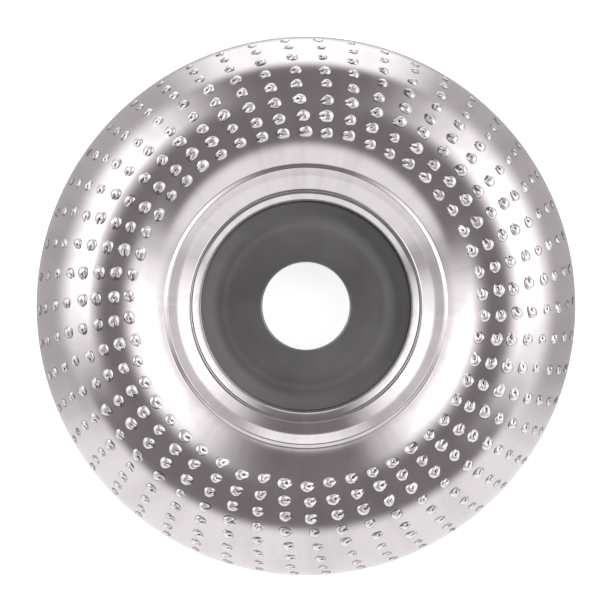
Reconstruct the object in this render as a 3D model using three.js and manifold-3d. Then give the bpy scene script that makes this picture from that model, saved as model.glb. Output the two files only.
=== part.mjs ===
// Angle grinder carving disc: a pressed steel dish whose crown and wall carry raised rasp teeth,
// a flat hub plate with the spindle bore, and a rolled collar that finishes the dish's throat.
// Millimetres. +Z is the disc's axis, out of the toothed face. The origin is the centre of the rim plane.
import * as THREE from 'three';
import { mergeVertices } from 'three/addons/utils/BufferGeometryUtils.js';
import Module from 'manifold-3d';

// Pressed shell: bends are radii of the front face, and a lean is measured from level
const RIM_RADIUS = 49.6;
const HEIGHT = 16;
const SHEET = 1.8;
const LIP_HEIGHT = 2.5;
const CROWN_RADIUS = 35.2;
const CROWN_BEND = 14.8;
const DISH_LEAN = THREE.MathUtils.degToRad(40);
const FOLD_BEND = 0.4;
const RIB_BEND = 0.6;
const RIB_LEAN = THREE.MathUtils.degToRad(20);
const STEP_LEAN = THREE.MathUtils.degToRad(44);
const STEP_LENGTH = 1.5;
const LEDGE_BEND = 5;
const LEDGE_LEAN = THREE.MathUtils.degToRad(31);
const THROAT_RADIUS = 21.4;

// Rasp teeth
const COLUMNS = 50;
const ROWS = 8;
const ROW_PITCH = 2.93;
const FIRST_ROW_INSIDE_CROWN = 3.3;
const ROW_LEAN = THREE.MathUtils.degToRad(0.5);
const TOOTH_LENGTH = 2.7;
const TOOTH_WIDTH = 1.9;
const TOOTH_HEIGHT = 0.55;
const TOOTH_ROOT = 0.2;
const TOOTH_RAKE = 0.55;

// Hub plate and collar
const BORE_RADIUS = 8;
const EDGE_CHAMFER = 0.4;
const HUB_RADIUS = 24;
const HUB_SEAT = 8.1;
const HUB_SEAT_RADIUS = 18.9;
const HUB_REBATE = 0.3;
const HUB_THICKNESS = 2.8;
const COLLAR_INNER = 19.2;
const COLLAR_CREST = 20.8;
const COLLAR_TOP = 10.1;
const COLLAR_ROUND = 1.5;
const GAP = 0.3;

// Facets: one round the disc for each column of teeth, and one along the crown for each row
const SEGMENTS = COLUMNS;
const BEND_STEP = THREE.MathUtils.degToRad(26);
const QUARTER = Math.PI / 2;

const wasm = await Module();
wasm.setup();

function toManifold(geometry) {
  const bare = geometry.toNonIndexed();
  bare.deleteAttribute('normal');
  bare.deleteAttribute('uv');
  const merged = mergeVertices(bare, 1e-4);
  const mesh = new wasm.Mesh({
    numProp: 3,
    vertProperties: Float32Array.from(merged.attributes.position.array),
    triVerts: Uint32Array.from(merged.index.array),
  });
  return new wasm.Manifold(mesh);
}

function toGeometry(solid) {
  const mesh = solid.getMesh();
  const geometry = new THREE.BufferGeometry();
  geometry.setAttribute('position', new THREE.Float32BufferAttribute(mesh.vertProperties, 3));
  geometry.setIndex(Array.from(mesh.triVerts));
  geometry.computeVertexNormals();
  return geometry;
}

// A closed outline of radius and height, turned about the disc's axis.
function turned(outline) {
  const lathe = new THREE.LatheGeometry([...outline, outline[0].clone()], SEGMENTS);
  return lathe.rotateX(Math.PI / 2);
}

// The direction out of a face that leans in towards the axis by an angle from level.
function facing(lean) {
  return new THREE.Vector2(-Math.sin(lean), Math.cos(lean));
}

// The crown and the outer wall, at a depth below the front face.
function crownPath(depth, startLean) {
  const path = new THREE.Path();
  path.absarc(CROWN_RADIUS, HEIGHT - CROWN_BEND, CROWN_BEND - depth, QUARTER + startLean, QUARTER, true);
  path.absellipse(CROWN_RADIUS, LIP_HEIGHT, RIM_RADIUS - CROWN_RADIUS - depth,
    HEIGHT - LIP_HEIGHT - depth, QUARTER, 0, true);
  path.curves = path.curves.filter((curve) => curve.isEllipseCurve);
  return path;
}

// The front face from the throat out to the crown: a sloping ledge, a steeper step, a low rib and the fold
// behind it. The centres of its bends follow from the crown inwards, each along the line where two meet.
function dishPath() {
  const crown = new THREE.Vector2(CROWN_RADIUS, HEIGHT - CROWN_BEND);
  const fold = crown.clone().addScaledVector(facing(DISH_LEAN), CROWN_BEND + FOLD_BEND);
  const rib = fold.clone().addScaledVector(facing(-RIB_LEAN), -FOLD_BEND - RIB_BEND);
  const ledge = rib.clone().addScaledVector(facing(STEP_LEAN), RIB_BEND + LEDGE_BEND);
  ledge.addScaledVector(facing(STEP_LEAN + QUARTER), STEP_LENGTH);
  const foot = ledge.clone().addScaledVector(facing(LEDGE_LEAN), -LEDGE_BEND);
  const path = new THREE.Path();
  path.moveTo(THROAT_RADIUS, foot.y - (foot.x - THROAT_RADIUS) * Math.tan(LEDGE_LEAN));
  path.absarc(ledge.x, ledge.y, LEDGE_BEND, LEDGE_LEAN - QUARTER, STEP_LEAN - QUARTER, false);
  path.absarc(rib.x, rib.y, RIB_BEND, QUARTER + STEP_LEAN, QUARTER - RIB_LEAN, true);
  path.absarc(fold.x, fold.y, FOLD_BEND, -QUARTER - RIB_LEAN, DISH_LEAN - QUARTER, false);
  return path;
}

// The back face from the throat to the lip: a straight cone that meets the crown's back in a tangent.
function backOutline() {
  const throat = dishPath().getPoint(0).addScaledVector(facing(LEDGE_LEAN), -SHEET);
  const reach = throat.clone().sub(new THREE.Vector2(CROWN_RADIUS, HEIGHT - CROWN_BEND));
  const coneLean = Math.atan2(-reach.x, reach.y) - Math.acos((CROWN_BEND - SHEET) / reach.length());
  const lip = new THREE.Vector2(RIM_RADIUS - SHEET, 0);
  return [throat, ...cornersOf(crownPath(SHEET, coneLean).curves), lip];
}

// Points along curves: only the ends of a straight stretch, and one every angular step round a bend.
function cornersOf(curves) {
  const points = [];
  for (const curve of curves) {
    const bend = curve.isEllipseCurve ? Math.abs(curve.aEndAngle - curve.aStartAngle) : 0;
    for (const point of curve.getPoints(Math.max(1, Math.ceil(bend / BEND_STEP)))) {
      if (!points.length || points.at(-1).distanceTo(point) > 1e-3) points.push(point);
    }
  }
  return points;
}

// How far along the crown path a row stands, as a share of the path's length.
function alongCrown(crown, row) {
  const topOfCrown = crown.curves[0].getLength();
  const distance = topOfCrown - FIRST_ROW_INSIDE_CROWN + row * ROW_PITCH;
  return THREE.MathUtils.clamp(distance / crown.getLength(), 0, 1);
}

// The front face's outline, with a corner midway between each two rows of teeth.
function frontOutline() {
  const crown = crownPath(0, DISH_LEAN);
  const points = cornersOf(dishPath().curves);
  for (let row = -1; row <= ROWS; row++) points.push(crown.getPointAt(alongCrown(crown, row - 0.5)));
  points.push(new THREE.Vector2(RIM_RADIUS, 0));
  return points;
}

// One tooth: a four-sided pyramid sunk in the sheet by its root, leaning back from its cutting side.
function toothGeometry() {
  const full = TOOTH_HEIGHT + TOOTH_ROOT;
  const atSurface = TOOTH_HEIGHT / full;
  const pyramid = new THREE.ConeGeometry(0.5, full, 4);
  pyramid.rotateX(Math.PI / 2).translate(0, 0, full / 2 - TOOTH_ROOT);
  pyramid.scale(TOOTH_LENGTH / atSurface, TOOTH_WIDTH / atSurface, 1);
  const rake = -TOOTH_RAKE / TOOTH_HEIGHT;
  return pyramid.applyMatrix4(new THREE.Matrix4().set(1, 0, rake, 0, 0, 1, 0, 0, 0, 0, 1, 0, 0, 0, 0, 1));
}

// Where the teeth stand: even rows along the sheet from just inside the crown, each row turned a
// little further round than the one inside it, and every tooth facing the way the disc is turned.
function toothPlaces() {
  const crown = crownPath(0, DISH_LEAN);
  const places = [];
  for (let row = 0; row < ROWS; row++) {
    const point = crown.getPointAt(alongCrown(crown, row));
    const tangent = crown.getTangentAt(alongCrown(crown, row));
    for (let column = 0; column < COLUMNS; column++) {
      const turn = (2 * Math.PI * (column + 0.5)) / COLUMNS + (row - (ROWS - 1) / 2) * ROW_LEAN;
      const around = new THREE.Vector3(-Math.sin(turn), Math.cos(turn), 0);
      const outward = new THREE.Vector3(Math.cos(turn), Math.sin(turn), 0);
      const normal = outward.clone().multiplyScalar(-tangent.y).setZ(tangent.x).normalize();
      const across = new THREE.Vector3().crossVectors(normal, around);
      const place = new THREE.Matrix4().makeBasis(around, across, normal);
      places.push(place.setPosition(point.x * outward.x, point.x * outward.y, point.y));
    }
  }
  return places;
}

function toothedShell() {
  const sheet = toManifold(turned([...backOutline(), ...frontOutline().reverse()]));
  const tooth = toothGeometry();
  const teeth = toothPlaces().map((place) => toManifold(tooth.clone().applyMatrix4(place)));
  return toGeometry(teeth.reduce((shell, one) => shell.add(one), sheet));
}

// A flat steel disc that backs the shell's throat: its bore is chamfered on both faces, and its margin is
// rebated to take the collar, so that the clamp nut's seat stands free.
function hubPlate() {
  const back = HUB_SEAT - HUB_THICKNESS;
  const margin = HUB_SEAT - HUB_REBATE;
  const outline = [
    [BORE_RADIUS + EDGE_CHAMFER, back], [HUB_RADIUS - EDGE_CHAMFER, back],
    [HUB_RADIUS, back + EDGE_CHAMFER], [HUB_RADIUS, margin],
    [HUB_SEAT_RADIUS, margin], [HUB_SEAT_RADIUS, HUB_SEAT],
    [BORE_RADIUS + EDGE_CHAMFER, HUB_SEAT], [BORE_RADIUS, HUB_SEAT - EDGE_CHAMFER],
    [BORE_RADIUS, back + EDGE_CHAMFER],
  ];
  return turned(outline.map(([radius, z]) => new THREE.Vector2(radius, z)));
}

// A rolled ring that stands on the hub plate and fills the shell's throat, its crest near its outer side.
function throatCollar() {
  const outer = THROAT_RADIUS - GAP;
  const foot = HUB_SEAT - HUB_REBATE + GAP;
  const round = COLLAR_TOP - COLLAR_ROUND;
  const outside = outer - COLLAR_CREST;
  const inside = COLLAR_CREST - COLLAR_INNER;
  const outerRound = new THREE.EllipseCurve(COLLAR_CREST, round, outside, COLLAR_ROUND, 0, QUARTER);
  const innerRound = new THREE.EllipseCurve(COLLAR_CREST, round, inside, COLLAR_ROUND, QUARTER, 2 * QUARTER);
  return turned([
    new THREE.Vector2(COLLAR_INNER, foot), new THREE.Vector2(outer, foot),
    ...outerRound.getPoints(3), ...innerRound.getPoints(3).slice(1),
  ]);
}

function named(name, geometry, color, roughness, metalness) {
  const mesh = new THREE.Mesh(geometry, new THREE.MeshStandardMaterial({ color, roughness, metalness }));
  mesh.name = name;
  return mesh;
}

const disc = new THREE.Group();
disc.add(
  named('toothed_shell', toothedShell(), 0xcfc8cb, 0.22, 1),
  named('throat_collar', throatCollar(), 0xdcd8da, 0.15, 1),
  named('hub_plate', hubPlate(), 0x5c5c5c, 0.45, 0.6),
);
export default disc;
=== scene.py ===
"""An angle grinder carving disc: its pressed and punched steel shell, throat collar and hub plate."""

import math

import bpy
import numpy as np
from bpy.props import FloatProperty, FloatVectorProperty, IntProperty, PointerProperty
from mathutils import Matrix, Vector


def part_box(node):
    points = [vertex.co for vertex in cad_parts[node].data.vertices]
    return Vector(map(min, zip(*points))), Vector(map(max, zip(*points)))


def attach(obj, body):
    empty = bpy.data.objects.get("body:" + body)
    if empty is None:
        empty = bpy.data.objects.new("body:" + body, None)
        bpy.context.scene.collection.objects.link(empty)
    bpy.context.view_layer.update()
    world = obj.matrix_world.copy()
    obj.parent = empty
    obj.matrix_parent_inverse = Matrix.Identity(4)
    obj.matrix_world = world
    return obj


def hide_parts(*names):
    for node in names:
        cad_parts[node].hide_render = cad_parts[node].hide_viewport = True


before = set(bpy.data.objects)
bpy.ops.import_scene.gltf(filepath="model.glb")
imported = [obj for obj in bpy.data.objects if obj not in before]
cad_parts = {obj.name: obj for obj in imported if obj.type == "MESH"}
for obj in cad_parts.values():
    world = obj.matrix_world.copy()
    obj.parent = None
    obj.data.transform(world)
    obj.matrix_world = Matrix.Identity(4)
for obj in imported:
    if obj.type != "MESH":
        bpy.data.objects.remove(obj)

bl_info = {
    "name": "Carving disc",
    "version": (1, 0, 0),
    "blender": (4, 5, 0),
    "location": "3D View > Sidebar > Carving disc",
    "description": "Builds a rasp carving disc for an angle grinder",
    "category": "Mesh",
}

MM = 0.001
QUARTER = math.pi / 2
FULL_TURN = 2 * math.pi
BEAD_LEAN = math.radians(26)
LEDGE_START = 0.06 * MM  # from the bead's foot to the ledge
BACK_HOLD = 1.5  # down to this many pit depths a vertex still belongs to the front face
TILE_EDGE = 0.499  # beyond this share of a tile a vertex lies on its border
NUDGE = 1e-6  # share of a tile, so that rounding moves no vertex to the tile before
MERGE_REACH = 1e-6
FADE_IN, FADE_OUT = 3 * MM, 2.2 * MM  # where the straying of the columns dies out beside the toothed band
FRONT_STEP = (5, 0.7 * MM)  # largest turn in degrees and largest stretch between two rings of vertices
BACK_STEP = (6, 1.5 * MM)
SHELL_SMOOTH, TURNED_SMOOTH = 26, 40
FOCUS_HEIGHT = 5 * MM

# How unevenly the teeth are punched: middle and spread, or spread and limits
WANDER_SEED, PUNCH_SEED = 7, 11
TWIST = (math.radians(-4), math.radians(5))
SIZE = (0.92, 0.05)
KEPT_SIZE = 0.3
FULL_ROW = 2
RISE_SPREAD, RISE_LIMITS = 0.14, (0.6, 1.35)
SLIP_SPREAD, SLIP_LIMIT = 0.10 * MM, 0.2 * MM
HOOK = (-0.20, 0.10)
UNEVEN = 0.048 * MM

# The soft screens: bearing and spread in degrees, then the heights where each begins and is full
SCREENS = ((18, 56, 1.0, 0.89), (157, 51, 0.985, 0.80))
SCREEN_CORE = 7  # a screen's spread over the part of it that is fully bright
SOFT_LIGHTS = {
    "right": dict(bearing=18, height=44, distance=1.0, size=(0.6, 0.6), power=0.45),
    "left": dict(bearing=157, height=43, distance=1.0, size=(0.6, 0.5), power=0.4),
}

# Half rings of a tooth from its foot inwards, each from the notched end round to the heel: forward, side
# and rise as shares of the tooth's sizes
TOOTH_RINGS = (
    ((1.12, 0, 0), (1.00, 0.42, 0), (0.62, 0.88, 0), (0, 1.14, 0), (-0.66, 0.98, 0),
     (-1.04, 0.56, 0), (-1.16, 0, 0)),
    ((0.66, 0, 0.02), (0.90, 0.36, 0.20), (0.50, 0.70, 0.42), (0, 0.94, 0.50), (-0.56, 0.80, 0.56),
     (-0.88, 0.46, 0.6), (-1, 0, 0.6)),
    ((0.34, 0, 0.05), (0.58, 0.31, 0.60), (0.30, 0.50, 0.86), (0, 0.56, 0.94), (-0.28, 0.46, 1),
     (-0.42, 0.24, 1), (-0.46, 0, 1)),
    ((0.28, 0, -0.5), (0.30, 0.08, 0.1), (0.22, 0.12, 0.5), (0.12, 0.12, 0.7), (0.04, 0.09, 0.75),
     (0.01, 0.05, 0.75), (0, 0, 0.7)),
)
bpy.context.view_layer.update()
HUB_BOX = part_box("hub_plate")
COLLAR_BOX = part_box("throat_collar")


def length(name, description, millimetres):
    """A size that a user can change, kept in metres and shown in the scene's unit."""
    return FloatProperty(
        name=name, description=description, default=millimetres * MM, unit="LENGTH", precision=5
    )


def angle(name, description, degrees):
    """An angle that a user can change, kept in radians and shown in degrees."""
    return FloatProperty(
        name=name, description=description, default=math.radians(degrees), unit="ROTATION"
    )


def colour(name, description, shade):
    """A colour that a user can change."""
    return FloatVectorProperty(
        name=name, description=description, default=shade, subtype="COLOR", min=0, max=1
    )


def share(name, description, default):
    """A number from 0 to 1 that a user can change."""
    return FloatProperty(
        name=name, description=description, default=default, min=0, max=1, subtype="FACTOR"
    )


class SheetSettings(bpy.types.PropertyGroup):
    rim_radius: length("Rim radius", "Radius of the lip's outer wall", 49.6)
    height: length("Height", "Height of the crown above the lip's edge", 16)
    thickness: length("Thickness", "Thickness of the pressed sheet", 1.8)
    lip: length("Lip", "Height of the straight lip", 2.5)
    crown_radius: length("Crown radius", "Distance of the crown's top from the axis", 35.2)
    crown_bend: length("Crown bend", "Radius of the crown's inner side", 14.8)
    dish_lean: angle("Dish lean", "How steep the dish is where it meets the rib", 39)
    fold_bend: length("Fold bend", "Radius of the fold behind the rib", 0.16)
    rib_bend: length("Rib bend", "Radius of the low rib round the dish", 0.18)
    rib_lean: angle("Rib lean", "How steeply the rib falls into the fold", 27)
    shoulder: length("Shoulder", "Length of the straight fall from the rib to the fold", 0.6)
    step_lean: angle("Step lean", "How steep the step inside the rib is", 43)
    step: length("Step", "Length of the step inside the rib", 1.85)
    ledge_bend: length("Ledge bend", "Radius between the step and the ledge", 3)
    ledge_lean: angle("Ledge lean", "How steep the ledge round the throat is", 31)
    throat_radius: length("Throat radius", "Radius of the hole that takes the collar", 20.86)
    throat_bead: length("Throat bead", "Radius of the small bead round the throat", 0.5)
    edge_round: length("Edge round", "How far the sheet's cut edges are rounded", 0.07)
    segments: IntProperty(
        name="Segments", description="Facets round the disc for each tooth", default=4, min=4
    )
    colour: colour("Plate", "Colour of the bright plating", (0.80, 0.755, 0.775))
    roughness: share("Roughness", "How far the plating blurs what it reflects", 0.16)


class ToothSettings(bpy.types.PropertyGroup):
    columns: IntProperty(name="Columns", description="Teeth in one row round the disc", default=50, min=3)
    rows: IntProperty(name="Rows", description="Rows of teeth over the crown and wall", default=8, min=1)
    row_pitch: length("Row pitch", "Distance between two rows along the sheet", 2.93)
    first_row: length("First row", "Distance of the first row inside the crown's top", 3.3)
    row_lean: angle("Row lean", "How much further round each row stands than the one inside it", 0.6)
    tail: length("Tail", "From the middle of a tooth to the tip of its groove", 1.42)
    heel: length("Heel", "From the middle of a tooth to the back of its burr", 1.12)
    half_width: length("Half width", "Half the width of a tooth", 1.03)
    burr: length("Burr", "Height of the burr's cutting edge", 0.44)
    pit: length("Pit", "Depth of the groove under the cutting edge", 0.16)
    fading: share("Fading", "How much smaller the teeth of the outer rows are", 0.42)
    wander: length("Wander", "How far a column of teeth strays from its even place", 0.22)
    runout: length("Runout", "How far the rows are punched off centre", 0.45)


class CollarSettings(bpy.types.PropertyGroup):
    inner: length("Inner radius", "Radius of the collar's inner wall", 19.1)
    crest: length("Crest radius", "Distance of the collar's top from the axis", 20.55)
    outer: length("Outer radius", "Radius of the collar's outer wall", 20.8)
    cone_lean: angle("Cone lean", "How steep the cone inside the collar's top is", 34)
    colour: colour("Collar", "Colour of the polished collar", (0.80, 0.78, 0.785))
    roughness: share("Roughness", "How far the collar blurs what it reflects", 0.12)


class HubSettings(bpy.types.PropertyGroup):
    bore: length("Bore", "Radius of the spindle bore", 8)
    seat: length("Seat", "Radius of the face that the clamp nut bears on", 19.0)
    rebate: length("Rebate", "How far the margin lies below the seat", 0.3)
    chamfer: length("Chamfer", "Width of the bore's chamfer", 0.18)
    colour: colour("Hub", "Colour of the dark steel", (0.30, 0.30, 0.30))
    roughness: share("Roughness", "How far the hub plate blurs what it reflects", 0.36)


class StageSettings(bpy.types.PropertyGroup):
    camera_height: length("Camera height", "Height of the camera above the rim plane", 620)
    view_width: length("View width", "Width of the view a little above the rim plane", 112.3)
    floor_size: length("Floor size", "Width of the floor", 3000)
    floor: colour("Floor", "Colour of the floor", (0.9, 0.9, 0.9))
    sky: colour("Overhead", "Colour of the unlit room above", (0.21, 0.19, 0.196))
    ground: colour("Ground", "Colour of the pale room below the horizon", (0.50, 0.485, 0.495))
    card: colour("Card", "Colour of the white card in front of the disc", (0.98, 0.97, 0.98))
    glow: colour("Glow", "Colour of the low light behind the disc", (1.0, 1.0, 1.0))
    screens: colour("Screens", "Colour of the soft screens at the sides", (1.0, 0.99, 1.0))
    brightness: FloatProperty(
        name="Brightness", description="How much brighter the screens are than white", default=1.4
    )


class Signal:
    """A socket of a node tree that maths can be written on."""

    def __init__(self, finish, socket):
        self.finish = finish
        self.socket = socket

    def math(self, operation, *values):
        return self.finish.node("ShaderNodeMath", {"operation": operation}, dict(enumerate(values)))

    def __add__(self, other):
        return self.math("ADD", self, other)

    def __sub__(self, other):
        return self.math("SUBTRACT", self, other)

    def __mul__(self, other):
        return self.math("MULTIPLY", self, other)

    def __truediv__(self, other):
        return self.math("DIVIDE", self, other)

    def __rsub__(self, other):
        return self.math("SUBTRACT", other, self)

    __radd__ = __add__
    __rmul__ = __mul__

    def clamped(self):
        return self.finish.node("ShaderNodeClamp", {}, {0: self})


class NodeShades:
    """A node tree that is built by plain calls."""

    def __init__(self, tree):
        self.tree = tree

    def node(self, kind, settings, inputs, output=0):
        """A node of one kind: its settings first, then the values or links of its sockets."""
        made = self.tree.nodes.new(kind)
        for name, value in settings.items():
            if name == "stops":
                self.set_stops(made.color_ramp, value)
            else:
                setattr(made, name, value)
        for socket, value in inputs.items():
            self.feed(made.inputs[socket], value)
        return Signal(self, made.outputs[output])

    def set_stops(self, ramp, stops):
        while len(ramp.elements) < len(stops):
            ramp.elements.new(0.5)
        for element, (position, shade) in zip(ramp.elements, stops):
            element.position = position
            element.color = (shade, shade, shade, 1)

    def feed(self, socket, value):
        if isinstance(value, Signal):
            self.tree.links.new(value.socket, socket)
        elif isinstance(value, (tuple, list)) and len(value) == 3 and socket.type == "RGBA":
            socket.default_value = (*value, 1)
        else:
            socket.default_value = value

    def apart(self, vector):
        """The three numbers of a vector."""
        made = self.tree.nodes.new("ShaderNodeSeparateXYZ")
        self.feed(made.inputs[0], vector)
        return [Signal(self, socket) for socket in made.outputs]

    def ramp(self, value, *stops):
        return self.node("ShaderNodeValToRGB", {"stops": stops}, {0: value})

    def rising(self, value, start, end):
        """0 before the start and 1 past the end, with a soft step between. The end may be the lower."""
        settings = {"interpolation_type": "SMOOTHSTEP"}
        return self.node("ShaderNodeMapRange", settings, {0: value, 1: start, 2: end, 3: 0.0, 4: 1.0})

    def mixed(self, factor, first, second):
        """A colour between two colours."""
        settings = {"data_type": "RGBA", "blend_type": "MIX"}
        return self.node("ShaderNodeMix", settings, {0: factor, 6: first, 7: second}, 2)


class Finish(NodeShades):
    """A metal finish as a node material. Its patterns lie on the object's own coordinates."""

    def __init__(self, name):
        self.material = bpy.data.materials.new(name)
        self.material.use_nodes = True
        super().__init__(self.material.node_tree)
        self.shader = next(n for n in self.tree.nodes if n.type == "BSDF_PRINCIPLED")
        self.place = self.node("ShaderNodeTexCoord", {}, {}, "Object")

    def surface(self, **inputs):
        """Feeds the shader's own sockets, named with underscores for spaces."""
        for name, value in inputs.items():
            self.feed(self.shader.inputs[name.replace("_", " ").title()], value)

    def noise(self, scale, detail=3, roughness=0.5, place=None):
        inputs = {"Vector": place or self.place, "Scale": scale, "Detail": detail, "Roughness": roughness}
        return self.node("ShaderNodeTexNoise", {}, inputs)

    def bump(self, height, strength, distance, over=None):
        inputs = {"Height": height, "Strength": strength, "Distance": distance}
        if over:
            inputs["Normal"] = over
        return self.node("ShaderNodeBump", {}, inputs)

    def polar(self):
        """The distance from the disc's axis, the angle round it and the height."""
        x, y, z = self.apart(self.place)
        radius = x.math("SQRT", x * x + y * y)
        turn = x.math("ARCTAN2", y, x)
        return radius, turn, z


def only(piece):
    """Makes a piece the one that operators act on."""
    bpy.ops.object.select_all(action="DESELECT")
    piece.select_set(True)
    bpy.context.view_layer.objects.active = piece


def added(name):
    """Names the primitive that was just added."""
    piece = bpy.context.object
    piece.name = name
    piece.data.name = name
    return piece


def coordinates(piece):
    """A mesh's vertices as rows of x, y and z."""
    flat = np.empty(len(piece.data.vertices) * 3)
    piece.data.vertices.foreach_get("co", flat)
    return flat.reshape(-1, 3)


def move_vertices(piece, places):
    """Puts a mesh's vertices at new places."""
    piece.data.vertices.foreach_set("co", np.asarray(places, float).ravel())
    piece.data.update()


def close_mesh(piece, reach=MERGE_REACH):
    """Merges the vertices that meet and turns every face outwards."""
    only(piece)
    bpy.ops.object.mode_set(mode="EDIT")
    bpy.ops.mesh.select_all(action="SELECT")
    bpy.ops.mesh.remove_doubles(threshold=reach)
    bpy.ops.mesh.normals_make_consistent(inside=False)
    bpy.ops.object.mode_set(mode="OBJECT")


def finish_piece(piece, material, node, smooth_degrees):
    """Shades a piece, gives it its material, hangs it under the root body and hides the part that it stands
    for.
    """
    only(piece)
    bpy.ops.object.shade_smooth_by_angle(angle=math.radians(smooth_degrees))
    piece.data.materials.append(material)
    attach(piece, "root")
    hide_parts(node)


def facing(lean):
    """The direction out of a face that leans in towards the axis by an angle from level."""
    return np.array((-np.sin(lean), np.cos(lean)))


class Section:
    """The pressed sheet in section, walked by the distance along its front face from the throat."""

    def __init__(self, sheet):
        crown = np.array((sheet.crown_radius, sheet.height - sheet.crown_bend))
        fold = crown + facing(sheet.dish_lean) * (sheet.crown_bend + sheet.fold_bend)
        rib = fold - facing(-sheet.rib_lean) * (sheet.fold_bend + sheet.rib_bend)
        rib = rib + facing(QUARTER - sheet.rib_lean) * sheet.shoulder
        ledge = rib + facing(sheet.step_lean) * (sheet.rib_bend + sheet.ledge_bend)
        ledge = ledge + facing(sheet.step_lean + QUARTER) * sheet.step
        foot = ledge - facing(sheet.ledge_lean) * sheet.ledge_bend
        bead_reach = sheet.throat_bead * math.sin(BEAD_LEAN)
        bead_rise = sheet.throat_bead * math.cos(BEAD_LEAN)
        bead = np.array((sheet.throat_radius + bead_reach, 0))
        valley = bead[0] + bead_reach
        bead[1] = foot[1] - (foot[0] - valley) * math.tan(sheet.ledge_lean) - bead_rise
        outer = np.array((sheet.crown_radius, sheet.lip))
        across, down = sheet.rim_radius - sheet.crown_radius, sheet.height - sheet.lip
        radius, height, lean = np.concatenate((
            self.bend(bead, sheet.throat_bead, sheet.throat_bead, BEAD_LEAN, -BEAD_LEAN),
            [(valley + LEDGE_START, bead[1] + bead_rise, sheet.ledge_lean)],
            self.bend(ledge, -sheet.ledge_bend, -sheet.ledge_bend, sheet.ledge_lean, sheet.step_lean),
            self.bend(rib, sheet.rib_bend, sheet.rib_bend, sheet.step_lean, -sheet.rib_lean),
            self.bend(fold, -sheet.fold_bend, -sheet.fold_bend, -sheet.rib_lean, sheet.dish_lean),
            self.bend(crown, sheet.crown_bend, sheet.crown_bend, sheet.dish_lean, 0),
            self.bend(outer, across, down, 0, -QUARTER),
            [(sheet.rim_radius, 0, -QUARTER)],
        )).T
        step = np.hypot(np.diff(radius), np.diff(height))
        self.along = np.concatenate(([0], np.cumsum(step)))
        self.radius, self.height, self.lean = radius, height, lean
        self.length = self.along[-1]
        self.crown_top = self.along[np.argmax(height)]
        self.back = self.back_face(sheet, crown)

    def back_face(self, sheet, crown):
        """The back face's radius and height: a straight cone from the throat up to the crown's back."""
        front = np.column_stack((self.radius, self.height))
        back = front - facing(self.lean).T * sheet.thickness
        reach = back[0] - crown
        swing = math.acos((sheet.crown_bend - sheet.thickness) / math.hypot(*reach))
        cone_lean = math.atan2(-reach[0], reach[1]) - swing
        crown_back = crown + facing(cone_lean) * (sheet.crown_bend - sheet.thickness)
        inner = (self.radius < sheet.crown_radius) & (back[:, 0] < crown_back[0])
        share_along = self.along / self.along[~inner][0]
        straight = back[0] + (crown_back - back[0]) * share_along[:, None]
        return np.where(inner[:, None], straight, back)

    @staticmethod
    def bend(centre, across, up, start, end, points=120):
        """Radius, height and lean along one bend; a negative radius is a hollow bend."""
        turn = np.linspace(start, end, points)
        radius = centre[0] - across * np.sin(turn)
        height = centre[1] + up * np.cos(turn)
        lean = np.arctan2(np.sin(turn) / across, np.cos(turn) / up) if across > 0 else turn
        return np.column_stack((radius, height, lean))

    def at(self, along):
        """The front's radius, height and lean and the back's radius and height, at distances along."""
        faces = (self.radius, self.height, self.lean, *self.back.T)
        return (np.interp(along, self.along, values) for values in faces)

    def stops(self, start, end, degrees, stretch):
        """Distances from start to end with no more than an angle or a stretch between two of them."""
        inside = (self.along > start) & (self.along < end)
        along = np.concatenate(([start], self.along[inside], [end]))
        lean = np.interp(along, self.along, self.lean)
        cost = np.abs(np.diff(lean)) / math.radians(degrees) + np.diff(along) / stretch
        spent = np.concatenate(([0], np.cumsum(cost)))
        return np.interp(np.linspace(0, spent[-1], math.ceil(spent[-1]) + 1), spent, along)


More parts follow.
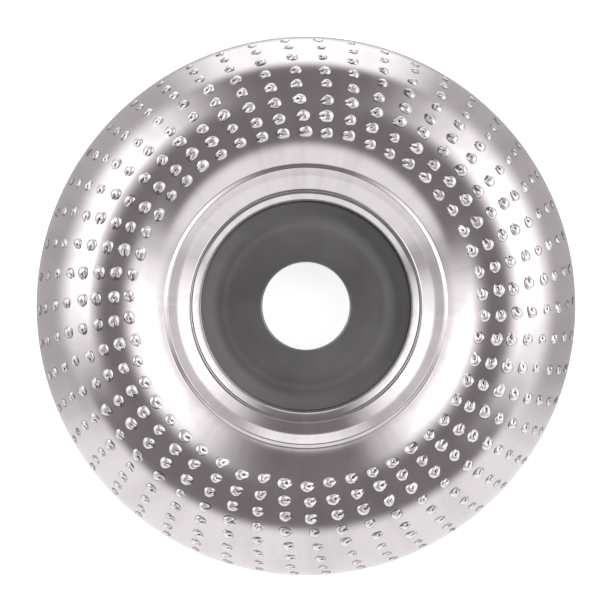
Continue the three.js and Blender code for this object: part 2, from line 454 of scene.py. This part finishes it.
class Blank:
    """The flat sheet before pressing: x runs round the disc, y from throat to lip, z out of it."""

    def __init__(self, sheet, teeth):
        self.sheet, self.teeth = sheet, teeth
        self.section = Section(sheet)
        self.column = FULL_TURN / teeth.columns
        self.band_start = self.section.crown_top - teeth.first_row - teeth.row_pitch / 2
        self.band_end = self.band_start + teeth.rows * teeth.row_pitch
        self.flat_radius = sheet.crown_radius
        rng = np.random.default_rng(WANDER_SEED)
        turn = (np.arange(teeth.columns) + 0.5) * self.column
        self.wander = rng.normal(0, teeth.wander, teeth.columns) - teeth.runout * np.sin(turn)

    def drift(self, turn):
        """How far along the sheet the punched columns stray at an angle round the disc."""
        middle = (np.arange(-1, self.teeth.columns + 1) + 0.5) * self.column
        values = np.concatenate((self.wander[-1:], self.wander, self.wander[:1]))
        return np.interp(turn, middle, values)

    def strip(self, name):
        """The plain part of the sheet: its outer edge, its back and its throat, up to the teeth."""
        section, deep, edge = self.section, -self.sheet.thickness, self.sheet.edge_round
        corner = edge * (1 - math.sqrt(0.5))
        end = section.length
        lip = [(along, 0) for along in section.stops(self.band_end, end - edge, *FRONT_STEP)]
        lip += [(end - corner, -corner), (end, -edge), (end, deep + edge), (end - corner, deep + corner)]
        back = [(along, deep) for along in section.stops(edge, end - edge, *BACK_STEP)[::-1]]
        throat = [(corner, deep + corner), (0, deep + edge), (0, -edge), (corner, -corner)]
        front = [(along, 0) for along in section.stops(edge, self.band_start, *FRONT_STEP)]
        outline = np.array(lip + back + throat + front)
        around = self.teeth.columns * self.sheet.segments
        rows = len(outline)
        bpy.ops.object.select_all(action="DESELECT")
        bpy.ops.mesh.primitive_grid_add(x_subdivisions=around, y_subdivisions=rows - 1, size=1)
        piece = added(name)
        grid = coordinates(piece)
        row = np.rint((grid[:, 1] + 0.5) * (rows - 1)).astype(int)
        grid[:, 0] = (grid[:, 0] + 0.5) * FULL_TURN * self.flat_radius
        grid[:, 1:] = outline[row]
        move_vertices(piece, grid)
        return piece

    def tooth_tile(self, name):
        """One tile of the flat sheet with a tooth in it, made by insetting one face again and again.

        The face inside the last ring is removed, which leaves a small open slot in every tooth."""
        teeth = self.teeth
        bpy.ops.object.select_all(action="DESELECT")
        bpy.ops.mesh.primitive_grid_add(x_subdivisions=self.sheet.segments, y_subdivisions=2, size=1)
        piece = added(name)
        places = coordinates(piece)
        places[:, 0] *= self.column * self.flat_radius
        places[:, 1] *= teeth.row_pitch
        move_vertices(piece, places)
        bpy.ops.object.mode_set(mode="EDIT")
        bpy.ops.mesh.select_all(action="SELECT")
        bpy.ops.mesh.dissolve_faces(use_verts=False)
        bpy.ops.object.mode_set(mode="OBJECT")
        for ring in self.tooth_rings():
            self.inset_ring(piece, ring)
        bpy.ops.object.mode_set(mode="EDIT")
        bpy.ops.mesh.delete(type="ONLY_FACE")
        bpy.ops.mesh.select_all(action="SELECT")
        bpy.ops.mesh.remove_doubles(threshold=MERGE_REACH)
        bpy.ops.object.mode_set(mode="OBJECT")
        return piece

    def tooth_rings(self):
        """The whole rings of a tooth, from its foot inwards, each half ring with its mirror."""
        teeth = self.teeth
        for ring in TOOTH_RINGS:
            forward, side, rise = np.array(ring).T
            forward = forward * np.where(forward > 0, teeth.tail, teeth.heel)
            rise = rise * np.where(rise > 0, teeth.burr, teeth.pit)
            half = np.column_stack((forward, side * teeth.half_width, rise))
            yield np.vstack((half, half[-2:0:-1] * (1, -1, 1)))

    @staticmethod
    def inset_ring(piece, ring):
        """Insets the tile's one selected face and moves its corners on to a ring of the tooth."""
        bpy.ops.object.mode_set(mode="EDIT")
        bpy.ops.mesh.inset(thickness=0, use_even_offset=False)
        bpy.ops.object.mode_set(mode="OBJECT")
        face = next(face for face in piece.data.polygons if face.select)
        corners = [piece.data.vertices[index] for index in face.vertices]
        turns = [abs(math.atan2(corner.co.y, corner.co.x)) for corner in corners]
        first = turns.index(min(turns))
        for number, place in enumerate(ring):
            corners[(first + number) % len(corners)].co = place

    def punched_sheet(self, name):
        """The tile repeated round the disc and over its crown, as one flat sheet."""
        piece = self.tooth_tile(name)
        steps = ((self.column * self.flat_radius, 0, 0), (0, self.teeth.row_pitch, 0))
        for step, count in zip(steps, (self.teeth.columns, self.teeth.rows)):
            array = piece.modifiers.new("repeat", "ARRAY")
            array.count = count
            array.use_relative_offset = False
            array.use_constant_offset = True
            array.constant_offset_displace = step
            only(piece)
            bpy.ops.object.modifier_apply(modifier=array.name)
        places = coordinates(piece)
        places[:, 0] += self.column * self.flat_radius / 2
        places[:, 1] += self.band_start + self.teeth.row_pitch / 2
        move_vertices(piece, self.hand_punched(places))
        return piece

    def hand_punched(self, places):
        """Gives each tooth of the flat sheet its own lean, size and place, as a hand-held punch does."""
        teeth = self.teeth
        rng = np.random.default_rng(PUNCH_SEED)
        wide, pitch = self.column * self.flat_radius, teeth.row_pitch
        last = teeth.rows - 1
        column = np.clip(np.floor(places[:, 0] / wide + NUDGE), 0, teeth.columns - 1).astype(int)
        row = np.floor((places[:, 1] - self.band_start) / pitch + NUDGE)
        row = np.clip(row, 0, last).astype(int)
        middle_x = (column + 0.5) * wide
        middle_y = self.band_start + (row + 0.5) * pitch
        across, along = places[:, 0] - middle_x, places[:, 1] - middle_y
        border = (np.abs(across) > TILE_EDGE * wide) | (np.abs(along) > TILE_EDGE * pitch)
        tooth = row * teeth.columns + column
        many = teeth.rows * teeth.columns
        turn = rng.normal(*TWIST, many)[tooth]
        shallow = 1 - teeth.fading * np.clip((row - FULL_ROW) / (last - FULL_ROW), 0, 1)
        size = rng.normal(*SIZE, many)[tooth] * (KEPT_SIZE + (1 - KEPT_SIZE) * shallow)
        rise = np.clip(rng.normal(1, RISE_SPREAD, many), *RISE_LIMITS)[tooth] * shallow
        slips = np.clip(rng.normal(0, SLIP_SPREAD, (2, many)), -SLIP_LIMIT, SLIP_LIMIT)
        slip_x, slip_y = slips[:, tooth]
        hook = rng.normal(*HOOK, many)[tooth]
        uneven = rng.normal(0, UNEVEN, places.shape)
        bent = along + hook * np.maximum(across, 0)
        made = np.column_stack((
            middle_x + slip_x + size * (across * np.cos(turn) - bent * np.sin(turn)),
            middle_y + slip_y + size * (across * np.sin(turn) + bent * np.cos(turn)),
            places[:, 2] * rise,
        ))
        raised = np.abs(places[:, 2]) > 1e-6
        made[raised] += uneven[raised]
        made[border] = places[border]
        return made

    def press(self, piece):
        """Wraps the flat sheet round the disc's section. Teeth keep their true size at any radius."""
        x, y, z = coordinates(piece).T
        wide = self.column * self.flat_radius
        row = (y - self.band_start) / self.teeth.row_pitch
        in_front = z > -self.sheet.thickness / 2
        in_band = (row > -NUDGE) & (row < self.teeth.rows + NUDGE) & in_front
        whole = np.clip(np.floor(row + NUDGE), 0, self.teeth.rows - 1)
        column = np.clip(np.floor(x / wide + NUDGE), 0, self.teeth.columns - 1)
        middle = (column + 0.5) * wide
        on_edge = (np.abs(x - middle) > TILE_EDGE * wide) | (np.abs(row - whole - 0.5) > TILE_EDGE)
        inside = in_band & ~on_edge
        before = (y - self.band_start) / FADE_IN + 1
        after = (self.band_end - y) / FADE_OUT + 1
        fade = np.clip(np.minimum(before, after), 0, 1)
        fade = fade * fade * (3 - 2 * fade)
        turn = np.where(inside, middle, x) / self.flat_radius
        along = y + np.where(in_front, fade, 0) * self.drift(turn)
        radius, height, lean, back_radius, back_height = self.section.at(along)
        turn = turn + np.where(inside, x - middle, 0) / radius
        turn = turn + self.teeth.row_lean * np.clip(row, 0, self.teeth.rows)
        lowest = -self.teeth.pit * BACK_HOLD
        raised, sunk = np.maximum(z, lowest), np.clip(-z / self.sheet.thickness, 0, 1)
        deep = z < lowest
        out = np.where(deep, radius + (back_radius - radius) * sunk, radius - raised * np.sin(lean))
        up = np.where(deep, height + (back_height - height) * sunk, height + raised * np.cos(lean))
        move_vertices(piece, np.column_stack((out * np.cos(turn), out * np.sin(turn), up)))
        rise = piece.data.attributes.new("rise", "FLOAT", "POINT")
        rise.data.foreach_set("value", np.where(in_band, z, 0) / self.teeth.burr)
        edge = self.sheet.edge_round
        plain = (np.abs(z) < 1e-7) & (y > 2 * edge) & (y < self.section.length - 2 * edge)
        level = -np.sin(lean)
        sheet_normal = np.column_stack((level * np.cos(turn), level * np.sin(turn), np.cos(lean)))
        sheet_normal = sheet_normal * plain[:, None]
        normal = piece.data.attributes.new("sheet_normal", "FLOAT_VECTOR", "POINT")
        normal.data.foreach_set("vector", sheet_normal.ravel())

    @staticmethod
    def smooth_face(piece):
        """Gives the plain sheet between the teeth the shading of the smooth pressing."""
        normals = np.empty(len(piece.data.vertices) * 3)
        piece.data.attributes["sheet_normal"].data.foreach_get("vector", normals)
        piece.data.normals_split_custom_set_from_vertices(normals.reshape(-1, 3))
        piece.data.attributes.remove(piece.data.attributes["sheet_normal"])


def plated_finish(name, shade, roughness, toothed):
    """Bright plated steel: polishing marks that run round the disc, faint clouding and small scuffs. On the
    teeth, painted shade darkens each burr's foot and a painted highlight makes its raised faces paler.
    """
    metal = Finish(name)
    radius, turn, height = metal.polar()
    flow = metal.node("ShaderNodeCombineXYZ", {}, {0: radius * 1000, 1: turn * 3, 2: height * 1000})
    marks = metal.noise(5, 4, 0.6, flow)
    clouds = metal.noise(60, 3)
    scuffs = metal.ramp(metal.noise(420, 5, 0.7), (0.62, 0), (0.78, 1))
    drawn = metal.noise(1, 3, 0.5, metal.node("ShaderNodeCombineXYZ", {}, {0: radius * 60, 1: turn * 7}))
    dull = tuple(0.72 * part for part in shade)
    stain = metal.ramp(clouds, (0.35, 0), (0.75, 1)) * 0.2 + scuffs * 0.12
    stain = stain + metal.rising(drawn, 0.40, 0.70) * 0.35
    base = metal.mixed(stain.clamped(), shade, dull)
    rough = roughness + (clouds - 0.5) * 0.06 + scuffs * 0.06 + (marks - 0.5) * 0.05
    if toothed:
        rise = metal.node("ShaderNodeAttribute", {"attribute_name": "rise"}, {}, "Fac")
        # The burrs' raised faces: a painted highlight makes their base colour paler, and they are also made
        # rougher.
        painted_bright_burr_faces = metal.rising(rise.math("ABSOLUTE", rise), 0.25, 0.45)
        # Painted shade: the crease at the foot of each burr is darkened towards a near black.
        painted_crease_shade = metal.rising(rise.math("ABSOLUTE", rise), 0.0, 0.12) * (1 - painted_bright_burr_faces)
        base = metal.mixed(painted_crease_shade * 0.62, base, (0.22, 0.20, 0.20))
        base = metal.mixed(painted_bright_burr_faces * 0.9, base, (0.96, 0.94, 0.94))
        rough = rough + painted_bright_burr_faces * 0.2
    grain = metal.bump(marks, 0.05, 0.02 * MM)
    metal.surface(metallic=1.0, base_color=base, roughness=rough.clamped(), normal=grain)
    return metal.material


def hub_finish(name, shade, roughness):
    """Dark satin steel with the fine rings of its facing cut, the print of a clamped flange and painted
    light that makes one side of the margin and of the middle lighter.
    """
    metal = Finish(name)
    radius, _, _ = metal.polar()
    rings = metal.noise(2.2, 3, 0.6, metal.node("ShaderNodeCombineXYZ", {}, {0: radius * 1000}))
    clouds = metal.noise(70, 4, 0.55)
    grit = metal.noise(900, 3, 0.6)
    x, y, _ = metal.apart(metal.place)
    print_ring = metal.rising(radius, 14.0 * MM, 14.7 * MM) * metal.rising(radius, 15.7 * MM, 15.1 * MM)
    margin = metal.rising(radius, 15.4 * MM, 17.4 * MM)
    middle = metal.rising(radius, 14.2 * MM, 12.6 * MM)
    # Painted light: the margin is lighter towards the lower left and darker towards the upper right, and
    # the middle is a little lighter towards the bottom and darker towards the top.
    painted_light_lower_left = (x * -0.88 + y * -0.48) / radius
    painted_light_bottom = (x * 0.25 + y * -0.97) / radius
    pale = tuple(1.9 * part for part in shade)
    dark = tuple(0.60 * part for part in shade)
    tone = 0.25 + (clouds - 0.5) * 0.34 + (rings - 0.5) * 0.14 + print_ring * 0.10
    tone = tone + margin * (painted_light_lower_left * 0.40 + 0.04) + middle * (painted_light_bottom * 0.07 + 0.02)
    base = metal.mixed(tone.clamped(), dark, pale)
    rough = roughness + (clouds - 0.5) * 0.14 + (grit - 0.5) * 0.06
    bump = metal.bump(rings, 0.08, 0.02 * MM)
    bump = metal.bump(grit, 0.06, 0.02 * MM, bump)
    metal.surface(metallic=1.0, base_color=base, roughness=rough.clamped(), normal=bump)
    return metal.material


def turned(name, outline, steps=192):
    """A closed outline of radius and height points, spun round the disc's axis."""
    bpy.ops.object.select_all(action="DESELECT")
    bpy.ops.mesh.primitive_circle_add(vertices=len(outline), radius=1)
    piece = added(name)
    move_vertices(piece, [(radius, 0, height) for radius, height in outline])
    bpy.ops.object.mode_set(mode="EDIT")
    bpy.ops.mesh.select_all(action="SELECT")
    bpy.ops.mesh.spin(steps=steps, angle=FULL_TURN, center=(0, 0, 0), axis=(0, 0, 1))
    bpy.ops.object.mode_set(mode="OBJECT")
    close_mesh(piece)
    return piece


def rounded(points, cuts=4):
    """An outline whose corners, given as radius, height and rounding, are cut by arcs."""
    outline = []
    for number, (radius, height, rounding) in enumerate(points):
        here = np.array((radius, height))
        before = np.array(points[number - 1][:2]) - here
        after = np.array(points[(number + 1) % len(points)][:2]) - here
        if not rounding:
            outline.append(tuple(here))
            continue
        start = here + before / np.linalg.norm(before) * rounding
        end = here + after / np.linalg.norm(after) * rounding
        for share_along in np.linspace(0, 1, cuts + 1):
            near = start + (here - start) * share_along
            far = here + (end - here) * share_along
            outline.append(tuple(near + (far - near) * share_along))
    return outline


class CARVING_OT_stage(bpy.types.Operator):
    """Sets the camera over the disc, the pale floor and the soft lights"""

    bl_idname = "carving_disc.stage"
    bl_label = "Stage"

    def execute(self, context):
        stage = context.scene.carving_stage
        bpy.ops.object.select_all(action="DESELECT")
        bpy.ops.object.camera_add(location=(0, 0, stage.camera_height), rotation=(0, 0, 0))
        camera = context.object
        camera.name = "camera"
        camera.data.angle = 2 * math.atan(stage.view_width / 2 / (stage.camera_height - FOCUS_HEIGHT))
        context.scene.camera = camera
        self.floor(stage)
        self.room(context.scene, stage)
        for name, light in SOFT_LIGHTS.items():
            self.soft_light(name, **light)
        context.scene.view_settings.view_transform = "Standard"
        return {"FINISHED"}

    def floor(self, stage):
        bpy.ops.mesh.primitive_plane_add(size=stage.floor_size, location=(0, 0, 0))
        floor = added("floor")
        paint = Finish("pale_floor")
        tone = paint.mixed(paint.noise(40, 2) * 0.05, tuple(stage.floor), (0.8, 0.8, 0.8))
        paint.surface(
            base_color=tone, roughness=0.9, emission_color=tuple(stage.floor), emission_strength=0.75
        )
        floor.data.materials.append(paint.material)
        floor.visible_glossy = False
        floor.visible_shadow = False

    def room(self, scene, stage):
        """A dim room, paler below the horizon: a white card, a low light behind and soft screens."""
        world = bpy.data.worlds.new("room")
        world.use_nodes = True
        scene.world = world
        room = NodeShades(world.node_tree)
        x, y, z = room.apart(room.node("ShaderNodeTexCoord", {}, {}, "Generated"))
        level = x.math("SQRT", x * x + y * y)
        shade = room.mixed(room.rising(z, 0.34, -0.10), tuple(stage.sky), tuple(stage.ground))
        card = room.rising(z / (level * 0.35 - y * 0.65), 1.32, 0.72) * room.rising(y / level, -0.22, -0.62)
        shade = room.mixed(card, shade, tuple(stage.card))
        glow = room.rising(z / y, 0.44, 0.10) * room.rising(y / level, 0.82, 0.99)
        glow = glow * room.rising(z, -0.98, -0.72)
        shade = room.mixed(glow, shade, tuple(stage.brightness * part for part in stage.glow))
        screens = None
        for bearing, spread, top, full in SCREENS:
            turn = math.radians(bearing)
            toward = (x * math.cos(turn) + y * math.sin(turn)) / level
            edge, core = math.radians(spread), math.radians(spread / SCREEN_CORE)
            screen = room.rising(toward, math.cos(edge), math.cos(core))
            screen = screen * room.rising(z, top, full)
            screens = screen + screens if screens else screen
        screens = screens.clamped() * room.rising(z, -0.12, 0.52)
        bright = tuple(stage.brightness * part for part in stage.screens)
        shade = room.mixed(screens, shade, bright)
        room.feed(world.node_tree.nodes["Background"].inputs[0], shade)

    def soft_light(self, name, bearing, height, distance, size, power):
        """An area light that looks at the disc from a bearing and a height above level."""
        turn, lift = math.radians(bearing), math.radians(height)
        flat = distance * math.cos(lift)
        place = (flat * math.cos(turn), flat * math.sin(turn), distance * math.sin(lift))
        bpy.ops.object.select_all(action="DESELECT")
        bpy.ops.object.light_add(type="AREA", location=place, rotation=(QUARTER - lift, 0, turn + QUARTER))
        light = bpy.context.object
        light.name = name
        light.data.shape = "RECTANGLE"
        light.data.size, light.data.size_y = size
        light.data.energy = power
        light.visible_camera = False


class CARVING_OT_toothed_shell(bpy.types.Operator):
    """Punches the teeth in a flat sheet, presses it into the domed shell and joins its seams"""

    bl_idname = "carving_disc.toothed_shell"
    bl_label = "Toothed shell"

    def execute(self, context):
        sheet, teeth = context.scene.carving_sheet, context.scene.carving_teeth
        blank = Blank(sheet, teeth)
        teeth_part = blank.punched_sheet("punched_band")
        shell = blank.strip("rasp_shell")
        bpy.ops.object.select_all(action="DESELECT")
        teeth_part.select_set(True)
        shell.select_set(True)
        context.view_layer.objects.active = shell
        bpy.ops.object.join()
        blank.press(shell)
        close_mesh(shell, 2e-6)
        material = plated_finish("plated_steel", tuple(sheet.colour), sheet.roughness, True)
        finish_piece(shell, material, "toothed_shell", SHELL_SMOOTH)
        blank.smooth_face(shell)
        return {"FINISHED"}


class CARVING_OT_throat_collar(bpy.types.Operator):
    """Spins the rolled collar that fills the shell's throat"""

    bl_idname = "carving_disc.throat_collar"
    bl_label = "Throat collar"

    def execute(self, context):
        collar = context.scene.carving_collar
        foot, top = COLLAR_BOX[0].z, COLLAR_BOX[1].z
        cone_foot = top - (collar.crest - collar.inner) * math.tan(collar.cone_lean)
        outline = rounded([
            (collar.inner, foot, 0), (collar.inner, cone_foot, 0.7 * MM), (collar.crest, top, 0.3 * MM),
            (collar.outer, top, 0.1 * MM), (collar.outer, foot, 0),
        ], 8)
        piece = turned("throat_ring", outline)
        material = plated_finish("polished_collar", tuple(collar.colour), collar.roughness, False)
        finish_piece(piece, material, "throat_collar", TURNED_SMOOTH)
        return {"FINISHED"}


class CARVING_OT_hub_plate(bpy.types.Operator):
    """Spins the dark hub plate with its chamfered bore and rebated margin"""

    bl_idname = "carving_disc.hub_plate"
    bl_label = "Hub plate"

    def execute(self, context):
        hub = context.scene.carving_hub
        back, seat, rim = HUB_BOX[0].z, HUB_BOX[1].z, HUB_BOX[1].x
        edge = 0.15 * MM
        points = [
            (hub.bore + hub.chamfer, back, edge), (rim, back, 2 * edge), (rim, seat - hub.rebate, 2 * edge),
            (hub.seat, seat - hub.rebate, 0.4 * edge), (hub.seat, seat, 0.7 * edge),
            (hub.bore + hub.chamfer, seat, edge), (hub.bore, seat - hub.chamfer, edge),
            (hub.bore, back + hub.chamfer, edge),
        ]
        piece = turned("spindle_plate", rounded(points))
        material = hub_finish("dark_hub_steel", tuple(hub.colour), hub.roughness)
        finish_piece(piece, material, "hub_plate", TURNED_SMOOTH)
        return {"FINISHED"}


class CARVING_PT_panel(bpy.types.Panel):
    bl_idname = "CARVING_PT_panel"
    bl_label = "Carving disc"
    bl_space_type = "VIEW_3D"
    bl_region_type = "UI"
    bl_category = "Carving disc"

    def draw(self, context):
        for name, label, operator in PARTS:
            box = self.layout.box()
            box.label(text=label)
            settings = getattr(context.scene, name)
            for field in settings.bl_rna.properties.keys():
                if field not in ("rna_type", "name"):
                    box.prop(settings, field)
            if operator:
                box.operator(operator)


SETTINGS = {
    "carving_sheet": SheetSettings,
    "carving_teeth": ToothSettings,
    "carving_collar": CollarSettings,
    "carving_hub": HubSettings,
    "carving_stage": StageSettings,
}
PARTS = (
    ("carving_stage", "Stage", CARVING_OT_stage.bl_idname),
    ("carving_teeth", "Teeth", None),
    ("carving_sheet", "Shell", CARVING_OT_toothed_shell.bl_idname),
    ("carving_collar", "Collar", CARVING_OT_throat_collar.bl_idname),
    ("carving_hub", "Hub", CARVING_OT_hub_plate.bl_idname),
)
CLASSES = (
    *SETTINGS.values(),
    CARVING_OT_stage,
    CARVING_OT_toothed_shell,
    CARVING_OT_throat_collar,
    CARVING_OT_hub_plate,
    CARVING_PT_panel,
)


def register():
    for each in CLASSES:
        bpy.utils.register_class(each)
    for name, settings in SETTINGS.items():
        setattr(bpy.types.Scene, name, PointerProperty(type=settings))


def unregister():
    for name in SETTINGS:
        delattr(bpy.types.Scene, name)
    for each in reversed(CLASSES):
        bpy.utils.unregister_class(each)


def main():
    register()
    bpy.ops.carving_disc.stage()
    bpy.ops.carving_disc.toothed_shell()
    bpy.ops.carving_disc.throat_collar()
    bpy.ops.carving_disc.hub_plate()


if __name__ == "__main__":
    main()
